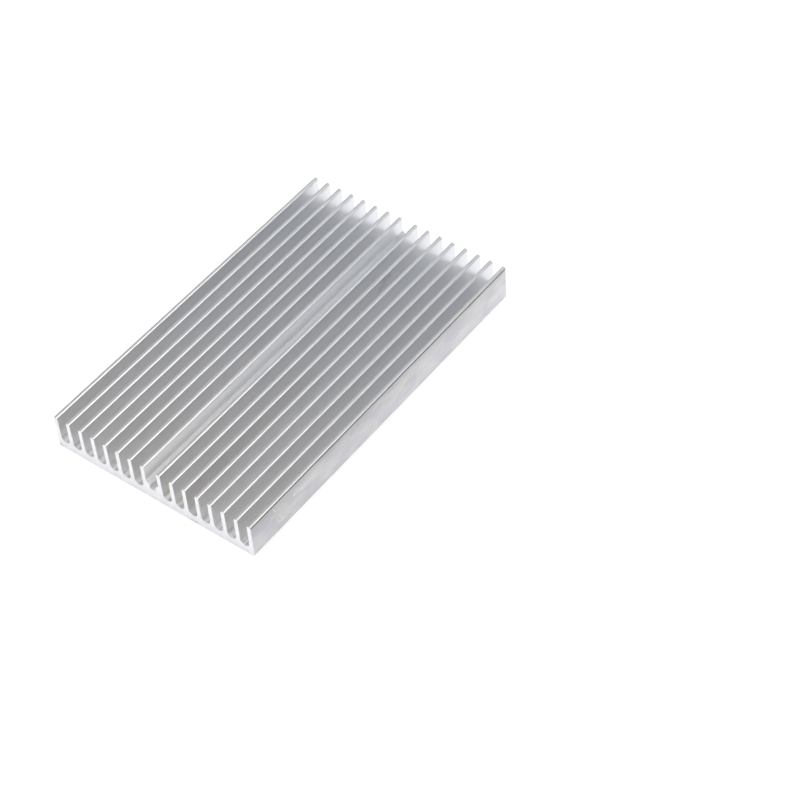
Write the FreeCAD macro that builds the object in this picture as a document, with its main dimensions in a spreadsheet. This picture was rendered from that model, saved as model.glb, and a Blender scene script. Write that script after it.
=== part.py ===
import FreeCAD, Part
import math
import os
import Sketcher

# Extruded aluminium heat sink: a flat base with two banks of thin fins and a stepped channel between the banks.
# Frame: origin in the middle of the underside, X across the fins, Y along the extrusion, Z up. Millimetres.

os.makedirs("parts", exist_ok=True)
doc = FreeCAD.newDocument("HeatSink")

# Driving dimensions
sheet = doc.addObject("Spreadsheet::Sheet", "Sizes")
driving = [
    ("sink_width", 60.0, "across the fins"),
    ("sink_length", 100.0, "along the extrusion, from saw cut to saw cut"),
    ("sink_height", 10.0, "from the underside to the fin tips"),
    ("base_thickness", 2.2, "below the lowest line of each channel floor"),
    ("base_edge_radius", 0.4, "on the two long edges of the underside"),
    ("fins_per_bank", 8, "on each side of the centre channel"),
    ("tip_thickness", 1.1, "of a fin at its tip, before the tip is rounded"),
    ("tip_radius", 0.45, "on both edges of every fin tip"),
    ("wall_draft", 0.5, "lean of each channel wall in degrees, so that a fin thickens towards the base"),
    ("centre_gap", 3.8, "clear width between the two innermost fins"),
    ("shoulder_height", 5.65, "from the underside to where the shoulders meet the innermost fins"),
    ("shoulder_slope", 48.0, "of both shoulders in degrees, from the horizontal"),
    ("slot_width", 1.75, "of the narrow slot between the shoulders"),
    ("slot_floor", 3.15, "from the underside to the floor of the slot"),
    ("corner_radius", 0.2, "on the shoulders and in the corners of the slot"),
    ("cut_overrun", 1.0, "that each cut reaches above the fin tips"),
]
for row, (alias, amount, meaning) in enumerate(driving, start=1):
    sheet.set(f"A{row}", alias)
    sheet.set(f"B{row}", str(amount))
    sheet.set(f"C{row}", meaning)
    sheet.setAlias(f"B{row}", alias)
doc.recompute()

# What follows from them: each bank shares its width evenly between fins and channels
bank_width = "((Sizes.sink_width - Sizes.centre_gap) / 2)"
fin_pitch = f"(({bank_width} - Sizes.tip_thickness) / (Sizes.fins_per_bank - 1))"
mouth_half = f"(({fin_pitch} - Sizes.tip_thickness) / 2)"
first_channel = f"(Sizes.centre_gap / 2 + Sizes.tip_thickness + {mouth_half})"
cut_top = "(Sizes.sink_height + Sizes.cut_overrun)"
tip_round = "min(Sizes.tip_radius; 0.49 * Sizes.tip_thickness)"

body = doc.addObject("PartDesign::Body", "heat_sink")
body.Label = "heat_sink"

START, END = 1, 2
ORIGIN = (-1, 1)
AXIS_X, AXIS_Z = -1, -2
SAME_PLACE = 1e-4


def number(expression):
    return float(sheet.evalExpression(expression))


def origin_feature(role):
    return next(feature for feature in body.Origin.OriginFeatures if feature.Role == role)


def end_sketch(name):
    # drawn in the plane across the extrusion, so its own x and y are the part's X and Z
    sketch = body.newObject("Sketcher::SketchObject", name)
    sketch.AttachmentSupport = [(origin_feature("XZ_Plane"), "")]
    sketch.MapMode = "FlatFace"
    return sketch


def line(sketch, start, end, construction=False):
    return sketch.addGeometry(Part.LineSegment(FreeCAD.Vector(*start), FreeCAD.Vector(*end)), construction)


def rule(sketch, kind, *ends):
    return sketch.addConstraint(Sketcher.Constraint(kind, *ends))


def size(sketch, name, expression, kind, *ends):
    # a named dimension that takes its value from the sheet
    unit = math.radians(1) if kind == "Angle" else 1
    index = rule(sketch, kind, *ends, number(expression) * unit)
    sketch.renameConstraint(index, name)
    sketch.setExpression(f"Constraints.{name}", f"({expression}) * 1 deg" if kind == "Angle" else expression)


def close_contour(sketch, lines):
    for before, after in zip(lines, lines[1:] + lines[:1]):
        rule(sketch, "Coincident", before, END, after, START)


def edges_along_extrusion(feature, wanted):
    names = []
    for count, edge in enumerate(feature.Shape.Edges, start=1):
        near, far = edge.Vertexes[0].Point, edge.Vertexes[-1].Point
        straight = math.hypot(near.x - far.x, near.z - far.z) < SAME_PLACE
        if straight and any(math.hypot(near.x - x, near.z - z) < SAME_PLACE for x, z in wanted):
            names.append(f"Edge{count}")
    if len(names) != len(wanted):
        raise RuntimeError(f"{feature.Label}: found {len(names)} of {len(wanted)} edges")
    return names


def round_edges(name, feature, wanted, radius):
    fillet = body.newObject("PartDesign::Fillet", name)
    fillet.Base = (feature, edges_along_extrusion(feature, wanted))
    fillet.setExpression("Radius", radius)
    doc.recompute()
    return fillet


def through_pocket(name, sketch):
    pocket = body.newObject("PartDesign::Pocket", name)
    pocket.Profile = sketch
    pocket.Type = "ThroughAll"
    pocket.SideType = "Symmetric"
    return pocket


def both_sides(points):
    return [(side * x, z) for x, z in points for side in (-1, 1)]


# The blank: the outer outline of the extrusion, cut to length
def make_blank():
    sketch = end_sketch("blank_profile")
    x, z = number("Sizes.sink_width") / 2, number("Sizes.sink_height")
    corners = [(-x, 0), (x, 0), (x, z), (-x, z)]
    bottom, right, top, left = [line(sketch, a, b) for a, b in zip(corners, corners[1:] + corners[:1])]
    close_contour(sketch, [bottom, right, top, left])
    rule(sketch, "Vertical", right)
    rule(sketch, "Horizontal", top)
    rule(sketch, "PointOnObject", bottom, START, AXIS_X)
    rule(sketch, "Symmetric", bottom, START, bottom, END, AXIS_Z)
    rule(sketch, "Vertical", left)
    size(sketch, "width", "Sizes.sink_width", "DistanceX", bottom, START, bottom, END)
    size(sketch, "height", "Sizes.sink_height", "DistanceY", right, START, right, END)
    blank = body.newObject("PartDesign::Pad", "blank")
    blank.Profile = sketch
    blank.SideType = "Symmetric"
    blank.setExpression("Length", "Sizes.sink_length")
    doc.recompute()
    return blank


# One channel between two fins: leaning walls that run into a fully rounded floor
def draw_channel():
    sketch = end_sketch("channel_profile")
    middle_x, half = number(first_channel), number(mouth_half)
    tips, floor, lid_z = number("Sizes.sink_height"), number("Sizes.base_thickness"), number(cut_top)
    draft = math.radians(number("Sizes.wall_draft"))
    radius = (half * math.cos(draft) - (tips - floor) * math.sin(draft)) / (1 - math.sin(draft))
    foot = (radius * math.cos(draft), floor + radius - radius * math.sin(draft))
    head = (half + (lid_z - tips) * math.tan(draft), lid_z)

    middle = line(sketch, (middle_x, 0), (middle_x, tips), construction=True)
    mouth = line(sketch, (middle_x, tips), (middle_x + half, tips), construction=True)
    lowest = line(sketch, (middle_x, floor), (middle_x + half, floor), construction=True)
    right = line(sketch, (middle_x + foot[0], foot[1]), (middle_x + head[0], head[1]))
    lid = line(sketch, (middle_x + head[0], head[1]), (middle_x - head[0], head[1]))
    left = line(sketch, (middle_x - head[0], head[1]), (middle_x - foot[0], foot[1]))
    circle = Part.Circle(FreeCAD.Vector(middle_x, floor + radius), FreeCAD.Vector(0, 0, 1), radius)
    round_floor = sketch.addGeometry(Part.ArcOfCircle(circle, math.pi + draft, 2 * math.pi - draft))

    rule(sketch, "Vertical", middle)
    rule(sketch, "PointOnObject", middle, START, AXIS_X)
    rule(sketch, "Coincident", mouth, START, middle, END)
    rule(sketch, "Horizontal", mouth)
    rule(sketch, "PointOnObject", lowest, START, middle)
    rule(sketch, "Horizontal", lowest)
    rule(sketch, "Equal", lowest, mouth)
    rule(sketch, "PointOnObject", mouth, END, right)
    rule(sketch, "Coincident", right, END, lid, START)
    rule(sketch, "Coincident", lid, END, left, START)
    rule(sketch, "Symmetric", left, START, right, END, middle)
    rule(sketch, "Symmetric", left, END, right, START, middle)
    rule(sketch, "Tangent", round_floor, END, right, START)
    rule(sketch, "Coincident", round_floor, START, left, END)
    rule(sketch, "Tangent", round_floor, lowest)
    size(sketch, "middle_x", first_channel, "DistanceX", *ORIGIN, middle, START)
    size(sketch, "tips_z", "Sizes.sink_height", "DistanceY", middle, START, middle, END)
    size(sketch, "half_mouth", mouth_half, "DistanceX", mouth, START, mouth, END)
    size(sketch, "floor_z", "Sizes.base_thickness", "DistanceY", middle, START, lowest, START)
    size(sketch, "overrun", "Sizes.cut_overrun", "DistanceY", middle, END, right, END)
    size(sketch, "wall_angle", "90 - Sizes.wall_draft", "Angle", right)
    return sketch


# The channel is repeated over its bank, and the bank is mirrored to the other side
def make_banks():
    channel = through_pocket("channel", draw_channel())
    doc.recompute()
    banks = body.newObject("PartDesign::MultiTransform", "banks_of_fins")
    along_bank = body.newObject("PartDesign::LinearPattern", "along_bank")
    along_bank.Direction = (origin_feature("X_Axis"), [""])
    along_bank.Mode = "Spacing"
    along_bank.setExpression("Offset", fin_pitch)
    along_bank.setExpression("Occurrences", "Sizes.fins_per_bank - 1")
    other_bank = body.newObject("PartDesign::Mirrored", "other_bank")
    other_bank.MirrorPlane = (origin_feature("YZ_Plane"), [""])
    banks.Originals = [channel]
    banks.Transformations = [along_bank, other_bank]
    body.Tip = banks
    doc.recompute()
    return banks


def shoulder_foot():
    # the height where a shoulder ends and the slot begins
    run = "((Sizes.centre_gap - Sizes.slot_width) / 2)"
    return number(f"Sizes.shoulder_height - {run} * tan(Sizes.shoulder_slope * 1 deg)")


# The channel between the banks: straight walls, sloped shoulders half way down, and a narrow slot
def make_centre_channel():
    sketch = end_sketch("centre_profile")
    gap, slot = number("Sizes.centre_gap") / 2, number("Sizes.slot_width") / 2
    right_side = [
        (slot, number("Sizes.slot_floor")),
        (slot, shoulder_foot()),
        (gap, number("Sizes.shoulder_height")),
        (gap, number(cut_top)),
    ]
    corners = right_side + [(-x, z) for x, z in reversed(right_side)]
    lines = [line(sketch, a, b) for a, b in zip(corners, corners[1:] + corners[:1])]
    slot_wall, shoulder, fin_wall, lid, far_fin_wall, far_shoulder, far_slot_wall, floor = lines
    close_contour(sketch, lines)
    rule(sketch, "Vertical", slot_wall)
    rule(sketch, "Vertical", fin_wall)
    rule(sketch, "Symmetric", floor, START, floor, END, AXIS_Z)
    rule(sketch, "Symmetric", far_shoulder, END, shoulder, START, AXIS_Z)
    rule(sketch, "Symmetric", far_shoulder, START, shoulder, END, AXIS_Z)
    rule(sketch, "Symmetric", lid, START, lid, END, AXIS_Z)
    size(sketch, "slot_width", "Sizes.slot_width", "DistanceX", floor, START, floor, END)
    size(sketch, "gap", "Sizes.centre_gap", "DistanceX", far_fin_wall, START, fin_wall, END)
    size(sketch, "floor_z", "Sizes.slot_floor", "DistanceY", *ORIGIN, slot_wall, START)
    size(sketch, "shoulder_z", "Sizes.shoulder_height", "DistanceY", *ORIGIN, shoulder, END)
    size(sketch, "top_z", cut_top, "DistanceY", *ORIGIN, fin_wall, END)
    size(sketch, "slope", "Sizes.shoulder_slope", "Angle", shoulder)
    centre = through_pocket("centre_channel", sketch)
    doc.recompute()
    return centre


def round_all_edges(sharp):
    side, tips = number("Sizes.sink_width") / 2, number("Sizes.sink_height")
    gap, slot = number("Sizes.centre_gap") / 2, number("Sizes.slot_width") / 2
    pitch, tip = number(fin_pitch), number("Sizes.tip_thickness")
    fin_walls = [gap + fin * pitch for fin in range(int(number("Sizes.fins_per_bank")))]
    tip_edges = both_sides([(x, tips) for wall in fin_walls for x in (wall, wall + tip)])
    rounded = round_edges("tip_rounds", sharp, tip_edges, tip_round)
    rounded = round_edges("base_edge_rounds", rounded, both_sides([(side, 0)]), "Sizes.base_edge_radius")
    channel_corners = [
        (slot, number("Sizes.slot_floor")),
        (slot, shoulder_foot()),
        (gap, number("Sizes.shoulder_height")),
    ]
    return round_edges("channel_rounds", rounded, both_sides(channel_corners), "Sizes.corner_radius")


blank = make_blank()
banks = make_banks()
centre = make_centre_channel()
finished = round_all_edges(centre)
body.Tip = finished
doc.recompute()

# Every step has to have worked, and every cut has to have taken metal away
for item in doc.Objects:
    if "Invalid" in item.State or "Error" in item.State:
        raise RuntimeError(f"{item.Label} failed: {item.State}")
if not blank.Shape.Volume > banks.Shape.Volume > centre.Shape.Volume > finished.Shape.Volume:
    raise RuntimeError("a cut took nothing away")
if body.Shape.isNull() or not body.Shape.isValid() or len(body.Shape.Solids) != 1:
    raise RuntimeError("heat_sink is not one valid solid")

body.Shape.exportStep(f"parts/{body.Label}.step")
print(f"{body.Label}: {body.Shape.Volume:.1f} mm3, fin pitch {number(fin_pitch):.3f} mm")
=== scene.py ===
import math

import bpy
from mathutils import Matrix, Vector


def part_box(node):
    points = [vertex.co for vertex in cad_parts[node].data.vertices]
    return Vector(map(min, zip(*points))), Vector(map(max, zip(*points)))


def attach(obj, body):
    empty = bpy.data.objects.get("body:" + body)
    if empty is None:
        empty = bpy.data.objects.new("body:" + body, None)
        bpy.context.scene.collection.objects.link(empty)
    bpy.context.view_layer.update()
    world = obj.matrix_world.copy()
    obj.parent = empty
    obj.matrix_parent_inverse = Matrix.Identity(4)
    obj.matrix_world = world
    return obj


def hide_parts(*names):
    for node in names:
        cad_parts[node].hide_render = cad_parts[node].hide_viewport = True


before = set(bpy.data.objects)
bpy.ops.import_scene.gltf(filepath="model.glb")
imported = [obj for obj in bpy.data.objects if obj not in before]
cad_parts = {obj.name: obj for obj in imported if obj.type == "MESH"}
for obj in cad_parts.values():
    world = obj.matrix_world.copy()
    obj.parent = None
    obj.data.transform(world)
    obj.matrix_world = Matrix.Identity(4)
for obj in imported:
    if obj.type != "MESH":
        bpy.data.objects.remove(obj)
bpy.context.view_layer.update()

mm = 0.001
hair = 0.02 * mm                  # between surfaces that lie on each other
lowCorner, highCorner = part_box("heat_sink")
outer = highCorner - lowCorner    # width across the fins, length along the extrusion, height
print("frame loaded:", [round(side / mm, 2) for side in outer], "mm")

# The section that the die gives, in millimetres; width, length and height come from the frame
section = {
    "Base thickness": 2.2,        # below the lowest line of a channel floor
    "Base edge radius": 0.4,
    "Tip thickness": 1.1,
    "Tip radius": 0.45,
    "Centre gap": 3.8,            # clear width between the two innermost fins
    "Shoulder height": 5.65,
    "Slot width": 1.75,
    "Slot floor": 3.15,
    "Corner radius": 0.2,         # on the shoulders and in the slot
    "Edge break": 0.09,           # taken off the saw-cut edges
    "Waviness": 0.005,            # how far a fin tip wanders sideways
    "Wave length": 60.0,
}
waveStep = 7.3                    # from fin to fin across the noise, so that no two wander alike
degrees = {"Wall draft": 0.5, "Shoulder slope": 48.0}
counts = {"Fins per bank": 8, "Rings": 96, "Edge rings": 3}
roundSteps = {"tip": 5, "floor": 8, "base": 4, "corner": 3}
# What sawing and handling left: each dent is a pebble pressed into the metal.
# Place and half size in millimetres, tilt about Y in degrees.
dents = {
    "front left corner": {"at": (-29.66, -50.0, 0.17), "size": (0.45, 0.10, 0.08), "tilt": 36.0},
    "front bottom edge": {"at": (11.9, -50.0, 0.06), "size": (0.60, 0.14, 0.11), "tilt": 4.0},
    "beside it": {"at": (12.8, -50.0, 0.09), "size": (0.22, 0.16, 0.12), "tilt": 20.0},
    "right fin, front end": {"at": (30.02, -50.0, 7.1), "size": (0.13, 0.40, 0.34), "tilt": 8.0},
    "right fin, tip": {"at": (29.72, -7.6, 10.0), "size": (0.14, 0.45, 0.09), "tilt": 0.0},
    "right fin, tip again": {"at": (29.83, -6.0, 9.98), "size": (0.12, 0.25, 0.12), "tilt": 0.0},
    "seventh fin, tip": {"at": (-6.0, -31.2, 10.0), "size": (0.22, 0.28, 0.09), "tilt": 0.0},
    "seventh fin, nearer": {"at": (-5.95, -35.6, 9.97), "size": (0.16, 0.24, 0.10), "tilt": 0.0},
    "left fin, tip": {"at": (-29.05, 20.7, 9.97), "size": (0.16, 0.35, 0.10), "tilt": 0.0},
    "pit in the thirteenth fin": {"at": (18.48, -47.0, 4.1), "size": (0.09, 0.20, 0.18), "tilt": 0.0},
    "pit in the twelfth fin": {"at": (14.62, -44.4, 6.0), "size": (0.07, 0.16, 0.14), "tilt": 0.0},
}


class linkedValue:
    # a number that runs along a link of a node tree, so that a size can be written as a formula
    def __init__(self, tree, socket):
        self.tree = tree
        self.socket = socket

    def math(self, operation, *others):
        node = self.tree.nodes.new("ShaderNodeMath")
        node.operation = operation
        for entry, amount in zip(node.inputs, (self,) + others):
            feed(self.tree, entry, amount)
        return linkedValue(self.tree, node.outputs[0])

    def __add__(self, other):
        return self.math("ADD", other)

    def __sub__(self, other):
        return self.math("SUBTRACT", other)

    def __mul__(self, other):
        return self.math("MULTIPLY", other)

    def __truediv__(self, other):
        return self.math("DIVIDE", other)

    def __neg__(self):
        return self.math("MULTIPLY", -1.0)


def feed(tree, entry, amount):
    if isinstance(amount, linkedValue):
        tree.links.new(amount.socket, entry)
    elif isinstance(amount, bpy.types.NodeSocket):
        tree.links.new(amount, entry)
    else:
        entry.default_value = amount


def addNode(tree, kind, wired=None, **settings):
    node = tree.nodes.new(kind)
    for name, choice in settings.items():
        setattr(node, name, choice)
    for name, amount in (wired or {}).items():
        feed(tree, node.inputs[name], amount)
    return node


def joinXYZ(tree, x=0.0, y=0.0, z=0.0):
    return addNode(tree, "ShaderNodeCombineXYZ", {"X": x, "Y": y, "Z": z}).outputs[0]


def splitXYZ(tree, vector):
    node = addNode(tree, "ShaderNodeSeparateXYZ", {"Vector": vector})
    return [linkedValue(tree, node.outputs[axis]) for axis in "XYZ"]


def combineVectors(tree, operation, *vectors):
    node = addNode(tree, "ShaderNodeVectorMath", operation=operation)
    for entry, vector in zip(node.inputs, vectors):
        feed(tree, entry, vector)
    return node.outputs[0]


def addNoise(tree, vector, detail):
    # in units of the vector, which is stretched to the pattern's own size
    return addNode(tree, "ShaderNodeTexNoise", {"Vector": vector, "Scale": 1.0, "Detail": detail})


def noiseAt(tree, vector, detail=2.0):
    return linkedValue(tree, addNoise(tree, vector, detail).outputs[0])


# The extrusion: one outline drawn by rule, and a tube of rings wrapped onto it

def pickByIndex(tree, index, amounts, kind):
    node = addNode(tree, "GeometryNodeIndexSwitch", data_type=kind)
    while len(node.index_switch_items) < len(amounts):
        node.index_switch_items.new()
    feed(tree, node.inputs["Index"], index)
    for count, amount in enumerate(amounts):
        feed(tree, node.inputs[str(count)], amount)
    return node.outputs[0]


def drawOutline(tree, corners):
    # an open outline in the plane across the extrusion, each corner as (x, z, rounding radius, steps)
    index = addNode(tree, "GeometryNodeInputIndex").outputs[0]
    xs, zs, radii, steps = zip(*corners)
    place = joinXYZ(tree, x=pickByIndex(tree, index, xs, "FLOAT"), z=pickByIndex(tree, index, zs, "FLOAT"))
    points = addNode(tree, "GeometryNodePoints", {"Count": len(corners), "Position": place})
    curve = addNode(tree, "GeometryNodePointsToCurves", {"Points": points.outputs[0]})
    rounded = addNode(tree, "GeometryNodeFilletCurve", {
        "Curve": curve.outputs[0],
        "Count": pickByIndex(tree, index, steps, "INT"),
        "Radius": pickByIndex(tree, index, radii, "FLOAT"),
    }, mode="POLY")
    return rounded.outputs[0]


def mirrored(leftHalf):
    return leftHalf + [(-x, z, radius, steps) for x, z, radius, steps in reversed(leftHalf)]


def drawSection(tree, given):
    # each bank shares its width evenly between fins and channels
    height, tip, gap = given["Height"], given["Tip thickness"], given["Centre gap"]
    pitch = ((given["Width"] - gap) / 2 - tip) / (given["Fins per bank"] - 1)
    mouthHalf = (pitch - tip) / 2
    floorHalf = mouthHalf - (height - given["Base thickness"]) * given["Wall draft"].math("TANGENT")
    # the radius at which the two floor corners meet in one round
    floorRadius = floorHalf * (given["Wall draft"] / 2 + math.pi / 4).math("TANGENT")
    finMiddle = gap / 2 + tip / 2
    slotHalf = given["Slot width"] / 2
    shoulderFoot = given["Shoulder height"] - (gap / 2 - slotHalf) * given["Shoulder slope"].math("TANGENT")

    sharp = (0.0, 1)
    tipCorner = (given["Tip radius"], roundSteps["tip"])
    innerCorner = (given["Corner radius"], roundSteps["corner"])
    channel = drawOutline(tree, mirrored([
        (-pitch / 2, height, *sharp),
        (-mouthHalf, height, *tipCorner),
        (-floorHalf, given["Base thickness"], floorRadius, roundSteps["floor"]),
    ]))
    centre = drawOutline(tree, mirrored([
        (-finMiddle, height, *sharp),
        (-gap / 2, height, *tipCorner),
        (-gap / 2, given["Shoulder height"], *innerCorner),
        (-slotHalf, shoulderFoot, *innerCorner),
        (-slotHalf, given["Slot floor"], *innerCorner),
    ]))
    outside = drawOutline(tree, mirrored([
        ((tip - given["Width"]) / 2, height, *sharp),
        (-given["Width"] / 2, height, *tipCorner),
        (-given["Width"] / 2, 0.0, given["Base edge radius"], roundSteps["base"]),
    ]))

    # the channel stands once between every two fins of both banks
    perBank = given["Fins per bank"] - 1
    index = linkedValue(tree, addNode(tree, "GeometryNodeInputIndex").outputs[0])
    bank = (index / perBank).math("FLOOR")
    along = finMiddle + pitch / 2 + (index - bank * perBank) * pitch
    spots = addNode(tree, "GeometryNodePoints", {
        "Count": perBank * 2,
        "Position": joinXYZ(tree, x=along * (bank * -2.0 + 1.0)),
    })
    channels = addNode(tree, "GeometryNodeInstanceOnPoints", {
        "Points": spots.outputs[0],
        "Instance": channel,
    })
    parts = addNode(tree, "GeometryNodeJoinGeometry")
    for part in (channels.outputs[0], centre, outside):
        tree.links.new(part, parts.inputs[0])
    single = addNode(tree, "GeometryNodeRealizeInstances", {"Geometry": parts.outputs[0]})
    edges = addNode(tree, "GeometryNodeCurveToMesh", {"Curve": single.outputs[0]})
    closed = addNode(tree, "GeometryNodeMergeByDistance", {
        "Geometry": edges.outputs[0],
        "Distance": hair / 5,
    })
    outline = addNode(tree, "GeometryNodeMeshToCurve", {"Mesh": closed.outputs[0]}).outputs[0]
    return outline, pitch, finMiddle


def makeExtrusionTree():
    tree = bpy.data.node_groups.new("finnedExtrusion", "GeometryNodeTree")
    tree.interface.new_socket("Geometry", in_out="OUTPUT", socket_type="NodeSocketGeometry")
    sizes = ["Width", "Length", "Height", *section, *degrees]
    finishes = ["Extruded finish", "Sawn finish"]
    for names, kind in ((sizes, "Float"), (counts, "Int"), (finishes, "Material")):
        for name in names:
            tree.interface.new_socket(name, in_out="INPUT", socket_type="NodeSocket" + kind)
    entry = addNode(tree, "NodeGroupInput")
    given = {name: linkedValue(tree, entry.outputs[name]) for name in (*sizes, *counts)}
    outline, pitch, finMiddle = drawSection(tree, given)

    # a tube with a column for each corner of the outline and a ring at each station along the length
    length, rings = given["Length"], given["Rings"]
    corners = addNode(tree, "GeometryNodeAttributeDomainSize", {"Geometry": outline}, component="CURVE")
    columns = linkedValue(tree, corners.outputs["Point Count"])
    tube = addNode(tree, "GeometryNodeMeshCylinder", {
        "Vertices": columns,
        "Side Segments": rings,
        "Depth": 1.0,
    }, fill_type="NGON")
    place = addNode(tree, "GeometryNodeInputPosition").outputs[0]
    ring = ((splitXYZ(tree, place)[2] + 0.5) * rings).math("ROUND")
    column = linkedValue(tree, addNode(tree, "GeometryNodeInputIndex").outputs[0]).math("MODULO", columns)

    def fromOutline(value):
        found = addNode(tree, "GeometryNodeSampleIndex", {"Geometry": outline, "Index": column},
                        data_type="FLOAT_VECTOR")
        tree.links.new(value, found.inputs["Value"])
        return found.outputs[0]

    # the saw-cut edges are broken by a small round, so the rings next to an end draw in
    edge, edgeRings = given["Edge break"], given["Edge rings"]
    fromEnd = ring.math("MINIMUM", rings - ring)
    turn = (fromEnd / edgeRings).math("MINIMUM", 1.0) * (math.pi / 2)
    run = ((fromEnd - edgeRings) / (rings / 2 - edgeRings)).math("MAXIMUM", 0.0)
    depth = edge * (-turn.math("COSINE") + 1.0) + run * (length / 2 - edge)
    end = (ring - rings / 2).math("SIGN")
    along = end * (length / 2 - depth)
    tangent = addNode(tree, "GeometryNodeInputTangent").outputs[0]
    outward = fromOutline(combineVectors(tree, "CROSS_PRODUCT", tangent, (0.0, 1.0, 0.0)))
    drawn = combineVectors(tree, "SCALE", outward)
    feed(tree, drawn.node.inputs["Scale"], edge * (turn.math("SINE") - 1.0))
    x, y, z = splitXYZ(tree, combineVectors(tree, "ADD", fromOutline(place), drawn))

    # each fin wanders a little sideways along its length, more so higher up; the outer two are straight
    fin = ((x.math("ABSOLUTE") - finMiddle) / pitch).math("ROUND") * x.math("SIGN")
    inner = x.math("ABSOLUTE").math("LESS_THAN", given["Width"] / 2 - pitch / 2)
    base = given["Base thickness"]
    rise = ((z - base) / (given["Height"] - base)).math("MAXIMUM", 0.0)
    wave = noiseAt(tree, joinXYZ(tree, x=fin * waveStep, y=along / given["Wave length"]), detail=0.0)
    sway = (wave * 2.0 - 1.0) * rise * inner * given["Waviness"]
    shaped = addNode(tree, "GeometryNodeSetPosition", {
        "Geometry": tube.outputs["Mesh"],
        "Position": joinXYZ(tree, x=x + sway, y=along, z=z),
    })

    # the saw's finish is on both ends and their broken edges
    reach = splitXYZ(tree, place)[1].math("ABSOLUTE")
    dented = pressDents(tree, shaped.outputs[0])
    single = addNode(tree, "GeometryNodeRealizeInstances", {"Geometry": dented})
    extruded = addNode(tree, "GeometryNodeSetMaterial", {
        "Geometry": single.outputs[0],
        "Material": entry.outputs["Extruded finish"],
    })
    sawn = addNode(tree, "GeometryNodeSetMaterial", {
        "Geometry": extruded.outputs[0],
        "Selection": reach.math("GREATER_THAN", length / 2 - edge),
        "Material": entry.outputs["Sawn finish"],
    })
    tree.links.new(sawn.outputs[0], addNode(tree, "NodeGroupOutput").inputs[0])
    return tree


def pressDents(tree, metal):
    dented = addNode(tree, "GeometryNodeMeshBoolean", {"Mesh 1": metal}, solver="EXACT",
                     operation="DIFFERENCE")
    for dent in dents.values():
        pebble = addNode(tree, "GeometryNodeMeshIcoSphere", {"Radius": mm, "Subdivisions": 2})
        pressed = addNode(tree, "GeometryNodeTransform", {
            "Geometry": pebble.outputs["Mesh"],
            "Translation": Vector(dent["at"]) * mm,
            "Rotation": (0.0, math.radians(dent["tilt"]), 0.0),
            "Scale": dent["size"],
        })
        tree.links.new(pressed.outputs[0], dented.inputs["Mesh 2"])
    creased = addNode(tree, "GeometryNodeSetShadeSmooth", {
        "Geometry": dented.outputs["Mesh"],
        "Selection": dented.outputs["Intersecting Edges"],
        "Shade Smooth": False,
    }, domain="EDGE")
    return creased.outputs[0]


def makeExtrusion(extrudedFinish, sawnFinish):
    amounts = {
        "Width": outer.x,
        "Length": outer.y,
        "Height": outer.z,
        **{name: size * mm for name, size in section.items()},
        **{name: math.radians(turn) for name, turn in degrees.items()},
        **counts,
        "Extruded finish": extrudedFinish,
        "Sawn finish": sawnFinish,
    }
    host = bpy.data.objects.new("finned_extrusion", bpy.data.meshes.new("extrusion_start"))
    bpy.context.scene.collection.objects.link(host)
    modifier = host.modifiers.new("extrusion", "NODES")
    modifier.node_group = makeExtrusionTree()
    for socket in modifier.node_group.interface.items_tree:
        if socket.in_out == "INPUT":
            modifier[socket.identifier] = amounts[socket.name]
    smooth = host.modifiers.new("flat_faces_stay_flat", "WEIGHTED_NORMAL")
    smooth.keep_sharp = True
    evaluated = host.evaluated_get(bpy.context.evaluated_depsgraph_get())
    plain = bpy.data.meshes.new_from_object(evaluated)
    host.modifiers.clear()
    host.data = plain
    dropEmptySlots(plain)
    return host


def dropEmptySlots(mesh):
    finishOf = [mesh.materials[face.material_index] for face in mesh.polygons]
    kept = [finish for finish in mesh.materials if finish]
    mesh.materials.clear()
    for finish in kept:
        mesh.materials.append(finish)
    for face, finish in zip(mesh.polygons, finishOf):
        face.material_index = kept.index(finish)


# Finishes

extrudedLook = {
    # from front to back the colour turns darker and bluer: painted light, for how the light falls along the
    # length
    "front colour": (0.975, 0.974, 0.975),
    "back colour": (0.943, 0.957, 0.984),
    "clouding": 0.025,            # how much darker the dull patches are
    "cloud": (6.0, 70.0),         # mm across and along
    "roughness": (0.278, 0.296),
    "scratch roughness": 0.30,    # added where a scratch is
    "scratch bloom": 0.3,         # how dull and pale it is there
    "anisotropy": 0.55,
    "anisotropy turn": 0.25,      # of a full turn
    "line": (0.35, 70.0),         # the fine die lines, mm across and along
    "line depth": 0.0020,         # mm
    "band": (0.55, 160.0),        # the coarser, half dark lines on the channel floors
    "band depth": 0.02,
    # the band tint darkens these lines in colour: a painted reflection, over the real die-line relief
    "band tint": (0.72, 0.70, 0.68),
    "band edge": (0.42, 0.58),    # the noise over which a dark line fades in
    "floor height": 4.2,
}
shadeAndWearLook = {
    # the two outer walls: patches and streaks of wear, on colours kept much darker than the channels as
    # painted shade, a painted reflection of the dark things beside the part
    "reach": 0.06,                # mm of the width on each side
    "cool colour": (0.560, 0.558, 0.594),
    "warm colour": (0.638, 0.626, 0.624),
    "patch": (2.8, 6.0),          # mm up and along
    "patch edge": (0.4, 0.62),    # the noise over which cool turns to warm
    "streak": (0.7, 7.0),
    "streaking": 0.20,
    # lighter towards the back and the base: painted light
    "towards the back": 0.20,     # how much lighter
    "towards the base": 0.30,
    # a dark line just under the rounded tip: a painted reflection of dark surroundings
    "edge line": 0.55,            # how much darker just under the rounded tip
    "edge line drop": 0.38,       # mm from the tip to the line's middle
    "edge line fade": (0.15, 0.38),
    "roughness": 0.31,
}
sawnLook = {
    "colour": (0.935, 0.935, 0.965),
    "dull colour": (0.87, 0.87, 0.90),
    "roughness": (0.38, 0.50),
    "cloud": (2.0, 2.0),
    "mark": (0.22, 12.0),         # mm between saw marks, and along them
    "mark slant": 0.35,
    "mark depth": 0.004,
}
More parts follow.
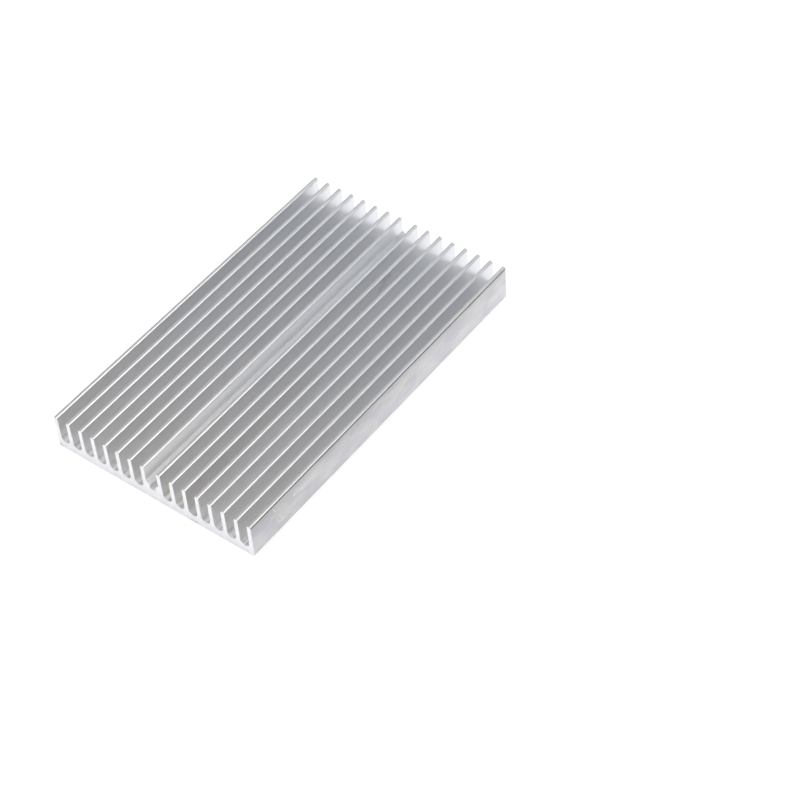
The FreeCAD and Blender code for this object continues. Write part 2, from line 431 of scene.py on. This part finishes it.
strokeLook = {
    "wobble": 0.55,               # mm, how far a scratch strays from its straight line
    "wave": (1.1, 1.1),           # mm from one bend to the next
    "break": (0.3, 0.3),          # mm from one thin place to the next
    "strength": (0.4, 1.0),       # at a thin place and at a full one
    "core": 0.2,                  # the share of the half width that is marked in full
    "light": (0.97, 0.96, 0.94),
    # the dark is used for smudges and for the painted shade in two nicks
    "dark": (0.12, 0.12, 0.12),
    "scratch from": 0.5,          # the tone above which a stroke dulls the metal as well
}
# Scratches, smudges and painted shade in two nicks: from one point to another in millimetres, half width,
# and lighter or darker
strokes = {
    "long scratch": {"from": (30.0, -42.2, 9.0), "to": (30.0, -39.2, 2.4), "width": 0.16, "tone": 0.9},
    "hook": {"from": (30.0, -42.7, 6.8), "to": (30.0, -43.7, 4.5), "width": 0.15, "tone": 0.6},
    "short scratch": {"from": (30.0, -41.3, 5.6), "to": (30.0, -40.7, 2.5), "width": 0.15, "tone": 0.6},
    "scratch's foot": {"from": (30.0, -40.6, 2.8), "to": (30.0, -38.8, 2.7), "width": 0.28, "tone": 0.8},
    "fleck": {"from": (30.0, -32.2, 6.0), "to": (30.0, -31.4, 5.7), "width": 0.34, "tone": 1.0},
    "fleck's tail": {"from": (30.0, -31.4, 6.0), "to": (30.0, -30.4, 6.6), "width": 0.28, "tone": 0.8},
    "small fleck": {"from": (30.0, -34.8, 6.3), "to": (30.0, -34.4, 6.4), "width": 0.34, "tone": 0.9},
    "rub": {"from": (30.0, -34.0, 6.9), "to": (30.0, -27.0, 5.8), "width": 1.7, "tone": 0.40},
    "long rub": {"from": (30.0, -29.0, 6.6), "to": (30.0, -12.0, 5.6), "width": 2.2, "tone": 0.18},
    # the next two are painted shade in the dents at the front corner and the bottom edge
    "shade in the corner nick": {"from": (-30.0, -50.0, 0.44), "to": (-29.3, -50.0, -0.02), "width": 0.42, "tone": -1.0},
    "shade in the bottom nick": {"from": (11.3, -50.0, 0.12), "to": (12.9, -50.0, 0.08), "width": 0.34, "tone": -0.9},
    "fin scratch": {"from": (18.43, 35.0, 9.2), "to": (18.45, 37.0, 5.9), "width": 0.2, "tone": 0.8},
    "smudge": {"from": (6.87, 30.6, 8.9), "to": (6.87, 32.8, 8.5), "width": 1.2, "tone": -0.24},
    "smudge below": {"from": (6.87, 28.8, 7.2), "to": (6.87, 30.6, 7.6), "width": 1.3, "tone": -0.20},
}


def startFinish(name):
    material = bpy.data.materials.new(name)
    material.use_nodes = True
    tree = material.node_tree
    shader = tree.nodes["Principled BSDF"]
    shader.inputs["Metallic"].default_value = 1.0
    place = addNode(tree, "ShaderNodeTexCoord").outputs["Object"]
    return material, tree, shader, place


def stretched(tree, place, across, along):
    # place in units of the pattern's own size, which is longer along the extrusion
    return combineVectors(tree, "MULTIPLY", place, (1 / (across * mm), 1 / (along * mm), 1 / (across * mm)))


def measure(tree, operation, *vectors):
    return linkedValue(tree, combineVectors(tree, operation, *vectors).node.outputs["Value"])


def scaled(tree, vector, factor):
    node = combineVectors(tree, "SCALE", vector).node
    feed(tree, node.inputs["Scale"], factor)
    return node.outputs[0]


def spread(tree, value, low, high, start=0.3, stop=0.7):
    # from low at start to high at stop; most noise lies between 0.3 and 0.7
    node = addNode(tree, "ShaderNodeMapRange", {
        "Value": value,
        "From Min": start,
        "From Max": stop,
        "To Min": low,
        "To Max": high,
    })
    return linkedValue(tree, node.outputs[0])


def blendColours(tree, share, first, second):
    node = addNode(tree, "ShaderNodeMix", data_type="RGBA")
    feed(tree, node.inputs["Factor"], share)
    for entry, colour in zip([entry for entry in node.inputs if entry.type == "RGBA"], (first, second)):
        feed(tree, entry, (*colour, 1.0) if isinstance(colour, tuple) else colour)
    return [exit for exit in node.outputs if exit.type == "RGBA"][0]


def strokeAt(tree, place, stroke):
    # 1 along the middle of the stroke, down to 0 at its half width
    start = Vector(stroke["from"]) * mm
    run = Vector(stroke["to"]) * mm - start
    fromStart = combineVectors(tree, "SUBTRACT", place, start)
    share = measure(tree, "DOT_PRODUCT", fromStart, run / run.length_squared)
    nearest = scaled(tree, run, share.math("MAXIMUM", 0.0).math("MINIMUM", 1.0))
    gap = measure(tree, "DISTANCE", fromStart, nearest)
    width = stroke["width"] * mm
    return spread(tree, gap, 1.0, 0.0, strokeLook["core"] * width, width)


def addStrokes(tree, place, colour):
    # the marked colour, and how scratched the metal is at each place
    look = strokeLook
    broken = spread(tree, noiseAt(tree, stretched(tree, place, *look["break"])), *look["strength"])
    bends = addNoise(tree, stretched(tree, place, *look["wave"]), detail=3.0).outputs["Color"]
    shift = combineVectors(tree, "SUBTRACT", bends, (0.5, 0.5, 0.5))
    # along and up only, or it would leave the wall that it is on
    shift = combineVectors(tree, "MULTIPLY", shift, (0.0, look["wobble"] * mm, look["wobble"] * mm))
    strayed = combineVectors(tree, "ADD", place, shift)
    scratched = 0.0
    for stroke in strokes.values():
        tone = stroke["tone"]
        mark = strokeAt(tree, strayed, stroke) * broken * abs(tone)
        colour = blendColours(tree, mark, colour, look["light"] if tone > 0 else look["dark"])
        if tone > look["scratch from"]:
            scratched = mark.math("MAXIMUM", scratched)
    return colour, scratched


def makeExtrudedFinish():
    look = extrudedLook
    material, tree, shader, place = startFinish("extruded_aluminium")
    x, y, z = splitXYZ(tree, place)
    cloud = noiseAt(tree, stretched(tree, place, *look["cloud"]), detail=4.0)
    fine = noiseAt(tree, stretched(tree, place, *look["line"]), detail=1.0)
    band = noiseAt(tree, stretched(tree, place, *look["band"]), detail=1.0)

    # the front to back change of colour is painted light
    fromFront = y / outer.y + 0.5
    clean = blendColours(tree, fromFront, look["front colour"], look["back colour"])
    clean = scaled(tree, clean, cloud * look["clouding"] + (1.0 - look["clouding"]))
    base = section["Base thickness"] * mm
    onFloor = spread(tree, z, 1.0, 0.0, base, look["floor height"] * mm) * z.math("GREATER_THAN", base / 2)
    # the dark lines on the channel floors: a painted reflection in colour, with a real bump below
    darkLine = spread(tree, band, 0.0, 1.0, *look["band edge"]) * onFloor
    clean = blendColours(tree, darkLine, clean, look["band tint"])
    wornAndShaded = makeHandledColour(tree, place, fromFront, z)
    # the outer walls take the darker colour: painted shade for the dark surroundings they mirror, with wear
    # on top
    outerWall = x.math("ABSOLUTE").math("GREATER_THAN", outer.x / 2 - shadeAndWearLook["reach"] * mm)
    colour, scratched = addStrokes(tree, place, blendColours(tree, outerWall, clean, wornAndShaded))
    feed(tree, shader.inputs["Base Color"], colour)
    feed(tree, shader.inputs["Metallic"], -scratched * look["scratch bloom"] + 1.0)

    low, high = look["roughness"]
    satin = spread(tree, (cloud + fine) / 2, low, high) + outerWall * (shadeAndWearLook["roughness"] - high)
    feed(tree, shader.inputs["Roughness"], satin + scratched * look["scratch roughness"])
    shader.inputs["Anisotropic"].default_value = look["anisotropy"]
    shader.inputs["Anisotropic Rotation"].default_value = look["anisotropy turn"]
    feed(tree, shader.inputs["Tangent"], joinXYZ(tree, y=1.0))
    relief = fine * (look["line depth"] * mm) + band * onFloor * (look["band depth"] * mm)
    bump = addNode(tree, "ShaderNodeBump", {"Height": relief, "Distance": 1.0})
    feed(tree, shader.inputs["Normal"], bump.outputs[0])
    return material


def makeHandledColour(tree, place, fromFront, z):
    # patchy and streaked wear on a colour darkened as painted shade, lighter to the back and the base as
    # painted light, with a dark line under the tip as a painted reflection
    shadeAndWear = shadeAndWearLook
    patch = noiseAt(tree, stretched(tree, place, *shadeAndWear["patch"]), detail=6.0)
    streak = noiseAt(tree, stretched(tree, place, *shadeAndWear["streak"]), detail=3.0)
    warm = spread(tree, patch, 0.0, 1.0, *shadeAndWear["patch edge"])
    wornAndShaded = blendColours(tree, warm, shadeAndWear["cool colour"], shadeAndWear["warm colour"])
    fromTop = -z / outer.z + 1.0
    # lighter to the back and the base: painted light
    lighter = fromFront * shadeAndWear["towards the back"] + fromTop * fromTop * shadeAndWear["towards the base"]
    # the dark line under the tip: a painted reflection
    fromLine = (z - (outer.z - shadeAndWear["edge line drop"] * mm)).math("ABSOLUTE")
    full, out = shadeAndWear["edge line fade"]
    line = spread(tree, fromLine, shadeAndWear["edge line"], 0.0, full * mm, out * mm)
    tint = ((streak - 0.5) * shadeAndWear["streaking"] + lighter + 1.0) * (-line + 1.0)
    return scaled(tree, wornAndShaded, tint)


def makeSawnFinish():
    look = sawnLook
    material, tree, shader, place = startFinish("sawn_aluminium")
    x, y, z = splitXYZ(tree, place)
    cloud = noiseAt(tree, stretched(tree, place, *look["cloud"]), detail=3.0)
    across, along = look["mark"]
    leaning = (x + z * look["mark slant"]) / (across * mm)
    marks = noiseAt(tree, joinXYZ(tree, x=leaning, z=z / (along * mm)))
    colour = blendColours(tree, spread(tree, cloud, 0.0, 1.0), look["colour"], look["dull colour"])
    feed(tree, shader.inputs["Base Color"], addStrokes(tree, place, colour)[0])
    low, high = look["roughness"]
    feed(tree, shader.inputs["Roughness"], spread(tree, (cloud + marks) / 2, low, high))
    bump = addNode(tree, "ShaderNodeBump", {"Height": marks * (look["mark depth"] * mm), "Distance": 1.0})
    feed(tree, shader.inputs["Normal"], bump.outputs[0])
    return material


extrusion = makeExtrusion(makeExtrudedFinish(), makeSawnFinish())
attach(extrusion, "root")
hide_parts("heat_sink")
print("extrusion made:", len(extrusion.data.vertices), "points,", len(extrusion.data.polygons), "faces")


# Floor, light and camera

studio = {
    "floor": 1.5,                 # metres each way
    "floor colour": (0.86, 0.86, 0.86),
    "floor glow": (0.10, 0.14),   # for the camera, and in the metal
    "floor roughness": 0.9,
    "card colour": (0.02, 0.02, 0.02),
    "mirrored": (0.62, 0.62, 0.625),
    "mirrored in front": (0.70, 0.70, 0.705),
    "mirrored behind": (0.61, 0.61, 0.615),
    "mirrored far off": (0.08, 0.08, 0.08),
    "backdrop": (1.0, 1.0, 1.0),
    "ends": (0.040, 0.058),       # metres along, where the places in front and behind begin
    "table": (0.10, 0.16),        # metres from the middle at which its mirror image darkens
    "overhead watts": 2.1,        # lights the floor, and isn't seen in the metal
    "overhead spread": 50.0,
    "bounces": 10,                # from fin to fin, before the light is dropped
}
# What the metal mirrors: how bright the room is from the horizon, 0, to straight above, 1, and soft glows
room = {
    "levels": {0.0: 0.0, 0.18: 0.04, 0.33: 0.66, 0.5: 0.68, 0.75: 0.21, 1.0: 0.94},
    "front": 0.25,                # added in front
    "underneath": 0.7,            # added below the horizon, where the floor is hidden
    "colour": (1.0, 1.0, 1.0),
}
glows = {
    # azimuth from +X towards +Y and elevation in degrees; a sharper glow is smaller, one below 0 is dark
    "curtain": {"azimuth": 44.0, "elevation": 40.5, "sharpness": 70.0, "strength": 0.85},
    "window": {"azimuth": 24.0, "elevation": 37.7, "sharpness": 46.0, "strength": 3.4},
    "doorway": {"azimuth": 49.2, "elevation": 22.6, "sharpness": 28.7, "strength": -1.2},
    "back panel": {"azimuth": 88.9, "elevation": 46.7, "sharpness": 64.0, "strength": 1.2},
    "left panel": {"azimuth": 117.1, "elevation": 28.5, "sharpness": 40.0, "strength": 0.7},
}
cards = {
    # opposite corners in millimetres
    "right card": ((39.5, -70.0), (100.0, 60.0)),
    "left card": ((-140.0, -60.0), (-38.0, 140.0)),
}
camera = {
    "aim": (31.8, 3.47, 5.0),     # mm
    "distance": 545.6,
    "azimuth": 39.96,             # degrees from straight in front towards +X
    "elevation": 47.76,
    "roll": -4.39,
    "lens": 103.38,               # mm
    "sensor": 36.0,
    "nearest": 0.01,              # metres, the nearest that it sees
}


def turnedTo(direction):
    return direction.to_track_quat("Z", "Y").to_matrix().to_4x4()


def addStageSheet(name, low, high, z, material):
    corners = [(low[0], low[1], z), (high[0], low[1], z), (high[0], high[1], z), (low[0], high[1], z)]
    mesh = bpy.data.meshes.new(name)
    mesh.from_pydata(corners, [], [(0, 1, 2, 3)])
    mesh.materials.append(material)
    sheet = bpy.data.objects.new(name, mesh)
    bpy.context.scene.collection.objects.link(sheet)
    return sheet


def makeFloor():
    material = bpy.data.materials.new("pale_floor")
    material.use_nodes = True
    tree = material.node_tree
    shader = tree.nodes["Principled BSDF"]
    place = addNode(tree, "ShaderNodeTexCoord").outputs["Object"]
    beyond = spread(tree, measure(tree, "LENGTH", place), 0.0, 1.0, *studio["table"])
    along = splitXYZ(tree, place)[1]
    behind = spread(tree, along, 0.0, 1.0, *studio["ends"])
    inFront = spread(tree, -along, 0.0, 1.0, *studio["ends"])
    inMetal = blendColours(tree, behind, studio["mirrored"], studio["mirrored behind"])
    inMetal = blendColours(tree, inFront, inMetal, studio["mirrored in front"])
    inMetal = blendColours(tree, beyond, inMetal, studio["mirrored far off"])
    path = addNode(tree, "ShaderNodeLightPath").outputs
    byCamera = linkedValue(tree, path["Is Camera Ray"])
    byMetal = linkedValue(tree, path["Is Glossy Ray"])
    feed(tree, shader.inputs["Base Color"], blendColours(tree, byMetal, studio["floor colour"], inMetal))
    shader.inputs["Emission Color"].default_value = (1.0, 1.0, 1.0, 1.0)
    cameraGlow, metalGlow = studio["floor glow"]
    feed(tree, shader.inputs["Emission Strength"], byCamera * cameraGlow + byMetal * metalGlow)
    shader.inputs["Roughness"].default_value = studio["floor roughness"]
    shader.inputs["Specular IOR Level"].default_value = 0.0
    half = studio["floor"]
    addStageSheet("floor", (-half, -half), (half, half), -hair, material)


def makeCards():
    # dark cards lying beside the part, which only its metal sees
    material = bpy.data.materials.new("dark_card")
    material.use_nodes = True
    shader = material.node_tree.nodes["Principled BSDF"]
    shader.inputs["Base Color"].default_value = (*studio["card colour"], 1.0)
    shader.inputs["Specular IOR Level"].default_value = 0.0
    for name, (low, high) in cards.items():
        card = addStageSheet(name, Vector(low) * mm, Vector(high) * mm, hair, material)
        card.visible_camera = False
        card.visible_diffuse = False
        card.visible_shadow = False


def directionTo(azimuth, elevation):
    around, up = math.radians(azimuth), math.radians(elevation)
    return Vector((math.cos(around) * math.cos(up), math.sin(around) * math.cos(up), math.sin(up)))


def makeRoom():
    world = bpy.data.worlds.new("studio")
    bpy.context.scene.world = world
    world.use_nodes = True
    tree = world.node_tree
    toward = addNode(tree, "ShaderNodeTexCoord").outputs["Generated"]
    x, y, z = splitXYZ(tree, toward)
    ramp = addNode(tree, "ShaderNodeValToRGB", {"Fac": z})
    stops = ramp.color_ramp.elements
    for height, level in room["levels"].items():
        stop = stops[0] if height == 0.0 else stops[-1] if height == 1.0 else stops.new(height)
        stop.color = (level, level, level, 1.0)
    light = linkedValue(tree, ramp.outputs[0])
    light = light + spread(tree, -y, 0.0, 1.0, -1 / 3, 1 / 3) * room["front"]
    light = light + spread(tree, -z, 0.0, 1.0, 0.0, 0.05) * room["underneath"]
    for glow in glows.values():
        facing = measure(tree, "DOT_PRODUCT", toward, directionTo(glow["azimuth"], glow["elevation"]))
        light = light + ((facing - 1.0) * glow["sharpness"]).math("EXPONENT") * glow["strength"]
    inMetal = scaled(tree, room["colour"], light.math("MAXIMUM", 0.0))
    byCamera = addNode(tree, "ShaderNodeLightPath").outputs["Is Camera Ray"]
    backdrop = blendColours(tree, byCamera, inMetal, studio["backdrop"])
    feed(tree, tree.nodes["Background"].inputs["Color"], backdrop)


def makeOverheadLight():
    light = bpy.data.lights.new("overhead", "SUN")
    light.energy = studio["overhead watts"]
    light.angle = math.radians(studio["overhead spread"])
    holder = bpy.data.objects.new("overhead", light)
    holder.visible_glossy = False
    bpy.context.scene.collection.objects.link(holder)


def makeCamera():
    direction = directionTo(camera["azimuth"] - 90.0, camera["elevation"])
    lens = bpy.data.cameras.new("camera")
    lens.lens = camera["lens"]
    lens.sensor_width = camera["sensor"]
    lens.clip_start = camera["nearest"]
    holder = bpy.data.objects.new("camera", lens)
    spot = (Vector(camera["aim"]) + direction * camera["distance"]) * mm
    roll = Matrix.Rotation(math.radians(camera["roll"]), 4, "Z")
    holder.matrix_world = Matrix.Translation(spot) @ turnedTo(direction) @ roll
    bpy.context.scene.collection.objects.link(holder)
    bpy.context.scene.camera = holder


makeFloor()
makeCards()
makeRoom()
makeOverheadLight()
makeCamera()
bpy.context.scene.view_settings.view_transform = "Standard"
bpy.context.scene.cycles.glossy_bounces = studio["bounces"]
print("studio made")
